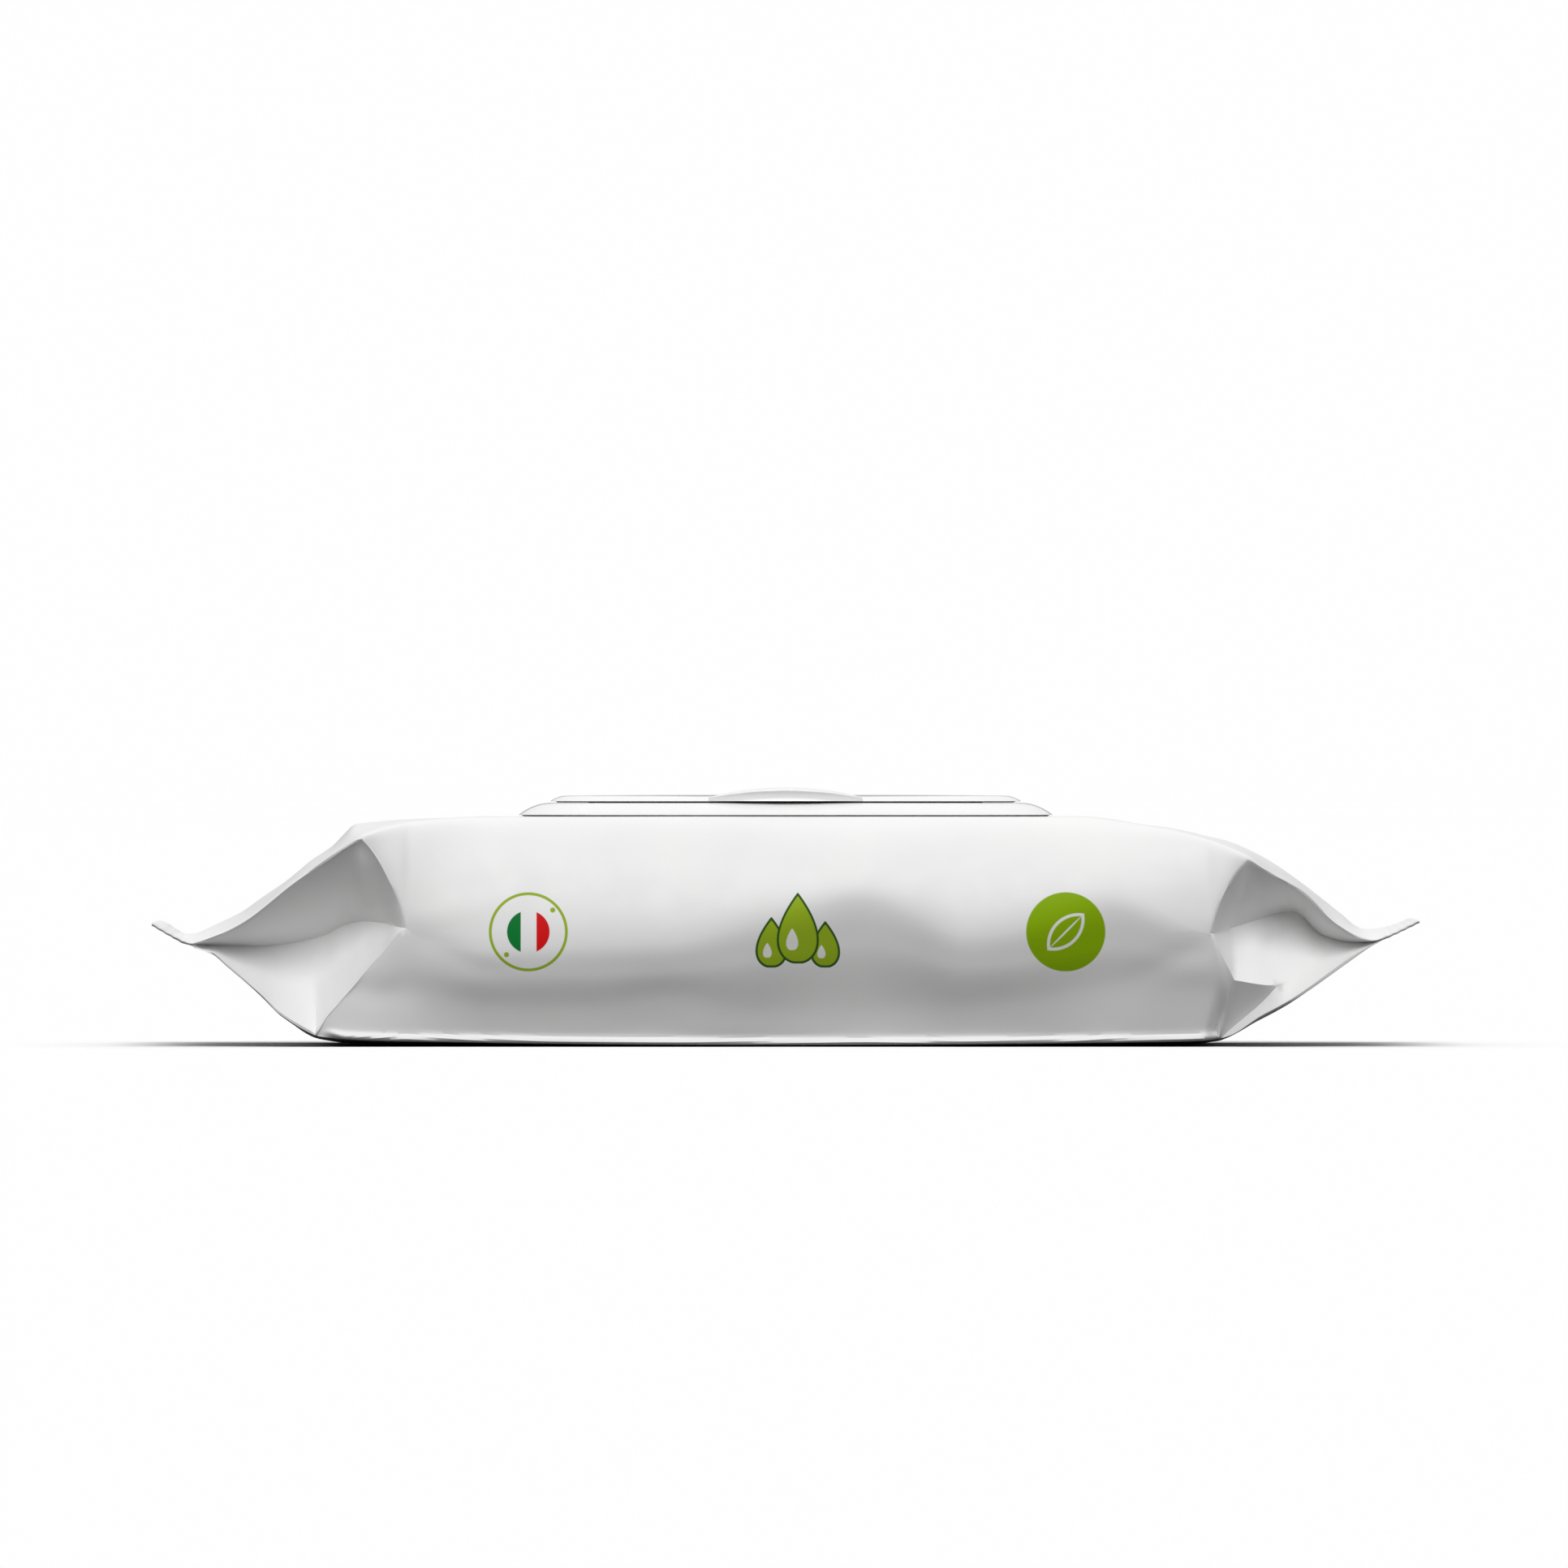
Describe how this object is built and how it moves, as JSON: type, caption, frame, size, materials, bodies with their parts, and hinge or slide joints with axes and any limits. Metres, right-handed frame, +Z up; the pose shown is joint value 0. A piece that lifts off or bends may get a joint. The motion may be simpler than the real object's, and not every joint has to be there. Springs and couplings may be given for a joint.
{
  "type": "wet wipes pack",
  "caption": "White film flow pack of folded wet wipes with tucked ends and crimped end seals, and a bonded moulded flip-top lid over its dispensing opening.",
  "frame": {"origin": "on the floor under the middle of the pack's box", "axes": "+X along the pack, +Z up, -Y toward the side with the lid's thumb lip"},
  "size_m": [0.25, 0.113, 0.0511],
  "materials": {
    "film": "satin white laminate film with small green and red printed badges",
    "wipes": "damp white non-woven cloth",
    "hot_melt": "set hot-melt adhesive",
    "moulding": "semi-gloss white polypropylene"
  },
  "bodies": {
    "pack": {"film_wrapper": "film", "wipes_stack": "wipes", "adhesive_ring": "hot_melt", "lid_frame": "moulding", "living_hinge": "moulding"},
    "lid": {"flip_lid": "moulding"}
  },
  "joints": [
    {"name": "lid_hinge", "type": "hinge", "parent": "pack", "child": "lid", "pos_m": [0, 0.03225, 0.04825], "axis": [-1, 0, 0], "range_deg": [0, 150], "deforming": ["living_hinge"]}
  ]
}
